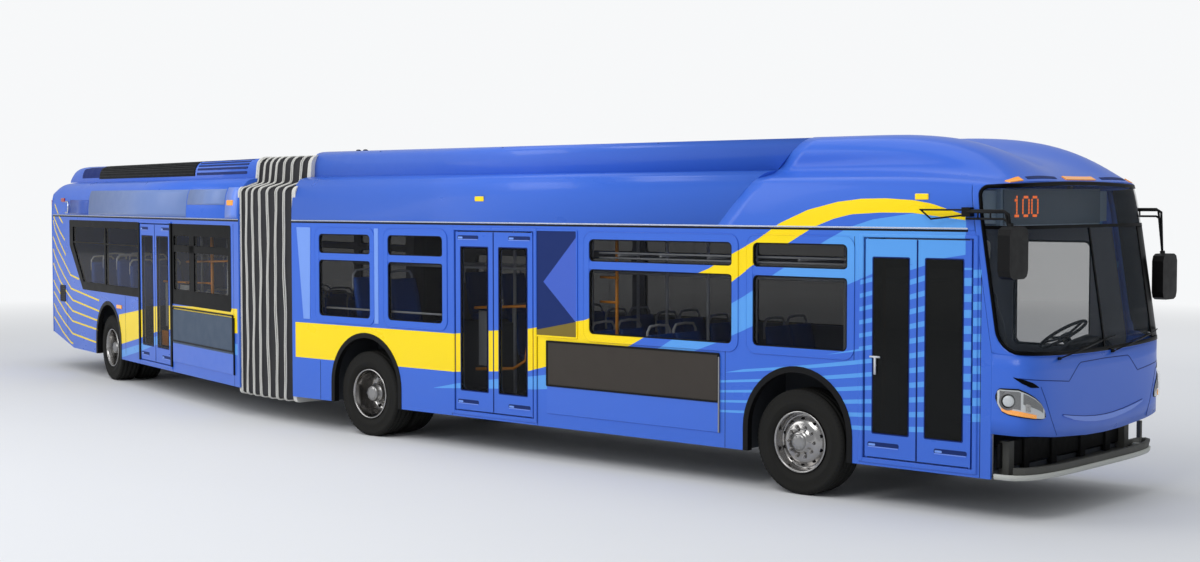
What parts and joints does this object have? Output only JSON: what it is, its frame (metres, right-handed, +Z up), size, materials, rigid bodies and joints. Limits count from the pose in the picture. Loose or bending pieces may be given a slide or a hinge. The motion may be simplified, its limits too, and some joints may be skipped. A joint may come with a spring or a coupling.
{
  "type": "articulated city bus",
  "caption": "Articulated low-floor city bus: glazed sections hinged inside a pleated bellows, steered front wheels, rolling axles and swinging door leaves.",
  "frame": {"origin": "on the ground, under the middle of the bus's box as it stands parked with its rear section turned to the left", "axes": "+X forward along the front section, +Y to its left, +Z up"},
  "size_m": [18.9128, 5.0874, 3.2903],
  "materials": {
    "body_blue": "gloss paint",
    "window_glass": "tinted glass",
    "tyre_rubber": "matt rubber",
    "polished_wheel": "polished",
    "chassis_black": "satin black",
    "floor_grey": "ribbed floor covering",
    "seat_blue": "moulded seat shells with pads",
    "rail_steel": "brushed",
    "board_grey": "matt",
    "bellows_fabric": "coated pleated fabric with pale hems",
    "black_trim": "textured",
    "engine_grey": "painted casting"
  },
  "bodies": {
    "front_section": {"front_floor": "floor_grey", "front_side_right": "body_blue", "front_side_left": "body_blue", "front_roof": "body_blue", "front_cap": "body_blue", "front_mask": "body_blue", "windscreen": "window_glass", "glazing_right_rearward": "window_glass", "glazing_right_forward": "window_glass", "glazing_left": "window_glass", "roof_fairing": "body_blue", "front_axle": "chassis_black", "middle_axle": "chassis_black", "side_board": "board_grey", "turntable_lower": "chassis_black", "bellows": "bellows_fabric", "seats_right": "seat_blue", "seats_left": "seat_blue", "handrails": "rail_steel", "driver_station": "black_trim", "mirror_right": "black_trim", "mirror_left": "black_trim", "undertray": "chassis_black"},
    "rear_section": {"rear_floor": "floor_grey", "rear_side_right": "body_blue", "rear_side_left": "body_blue", "rear_roof": "body_blue", "rear_face": "body_blue", "rear_glazing_right_long": "window_glass", "rear_glazing_right_short": "window_glass", "rear_glazing_left": "window_glass", "rear_fairing": "body_blue", "engine_block": "engine_grey", "rear_axle": "chassis_black", "rear_side_board": "board_grey", "turntable_upper": "chassis_black", "rear_seats_right": "seat_blue", "rear_seats_left": "seat_blue", "rear_handrails": "rail_steel"},
    "knuckle_left": {"knuckle_left": "chassis_black"},
    "knuckle_right": {"knuckle_right": "chassis_black"},
    "front_wheel_left": {"wheel_front_left": "polished_wheel", "tyre_front_left": "tyre_rubber"},
    "front_wheel_right": {"wheel_front_right": "polished_wheel", "tyre_front_right": "tyre_rubber"},
    "middle_wheel_left": {"wheel_middle_left": "polished_wheel", "tyre_middle_left": "tyre_rubber"},
    "middle_wheel_right": {"wheel_middle_right": "polished_wheel", "tyre_middle_right": "tyre_rubber"},
    "rear_wheel_left": {"wheel_rear_left": "polished_wheel", "tyre_rear_left": "tyre_rubber"},
    "rear_wheel_right": {"wheel_rear_right": "polished_wheel", "tyre_rear_right": "tyre_rubber"},
    "front_door_leaf_rear": {"front_door_leaf_rear": "body_blue"},
    "front_door_leaf_front": {"front_door_leaf_front": "body_blue"},
    "middle_door_leaf_rear": {"middle_door_leaf_rear": "body_blue"},
    "middle_door_leaf_front": {"middle_door_leaf_front": "body_blue"},
    "rear_door_leaf_rear": {"rear_door_leaf_rear": "body_blue"},
    "rear_door_leaf_front": {"rear_door_leaf_front": "body_blue"}
  },
  "joints": [
    {"name": "articulation", "type": "hinge", "parent": "front_section", "child": "rear_section", "pos_m": [-0.70886, -0.92874, 0.385], "axis": [0, 0, 1], "range_deg": [-23, 53], "deforming": ["bellows"]},
    {"name": "steering_left", "type": "hinge", "parent": "front_section", "child": "knuckle_left", "pos_m": [7.08614, 0.09126, 0.4864], "axis": [0, 0, 1], "range_deg": [-42, 42]},
    {"name": "steering_right", "type": "hinge", "parent": "front_section", "child": "knuckle_right", "pos_m": [7.08614, -1.94874, 0.4864], "axis": [0, 0, 1], "range_deg": [-42, 42]},
    {"name": "front_roll_left", "type": "hinge", "parent": "knuckle_left", "child": "front_wheel_left", "pos_m": [7.08614, 0.17126, 0.4864], "axis": [0, 1, 0], "continuous": true},
    {"name": "front_roll_right", "type": "hinge", "parent": "knuckle_right", "child": "front_wheel_right", "pos_m": [7.08614, -2.02874, 0.4864], "axis": [0, 1, 0], "continuous": true},
    {"name": "middle_roll_left", "type": "hinge", "parent": "front_section", "child": "middle_wheel_left", "pos_m": [1.09614, 0.17126, 0.4864], "axis": [0, 1, 0], "continuous": true},
    {"name": "middle_roll_right", "type": "hinge", "parent": "front_section", "child": "middle_wheel_right", "pos_m": [1.09614, -2.02874, 0.4864], "axis": [0, 1, 0], "continuous": true},
    {"name": "rear_roll_left", "type": "hinge", "parent": "rear_section", "child": "rear_wheel_left", "pos_m": [-5.93565, 1.60851, 0.4864], "axis": [0.2585, 0.966, 0], "continuous": true},
    {"name": "rear_roll_right", "type": "hinge", "parent": "rear_section", "child": "rear_wheel_right", "pos_m": [-6.50431, -0.51672, 0.4864], "axis": [0.2585, 0.966, 0], "continuous": true},
    {"name": "front_door_rear_swing", "type": "hinge", "parent": "front_section", "child": "front_door_leaf_rear", "pos_m": [7.83814, -2.21574, 0], "axis": [0, 0, -1], "range_deg": [0, 90]},
    {"name": "front_door_front_swing", "type": "hinge", "parent": "front_section", "child": "front_door_leaf_front", "pos_m": [8.86414, -2.21574, 0], "axis": [0, 0, 1], "range_deg": [0, 90]},
    {"name": "middle_door_rear_swing", "type": "hinge", "parent": "front_section", "child": "middle_door_leaf_rear", "pos_m": [2.60814, -2.21574, 0], "axis": [0, 0, -1], "range_deg": [0, 90]},
    {"name": "middle_door_front_swing", "type": "hinge", "parent": "front_section", "child": "middle_door_leaf_front", "pos_m": [3.73414, -2.21574, 0], "axis": [0, 0, 1], "range_deg": [0, 90]},
    {"name": "rear_door_rear_swing", "type": "hinge", "parent": "rear_section", "child": "rear_door_leaf_rear", "pos_m": [-5.09203, -1.08819, 0], "axis": [0, 0, -1], "range_deg": [0, 90]},
    {"name": "rear_door_front_swing", "type": "hinge", "parent": "rear_section", "child": "rear_door_leaf_front", "pos_m": [-3.91736, -1.40251, 0], "axis": [0, 0, 1], "range_deg": [0, 90]}
  ]
}
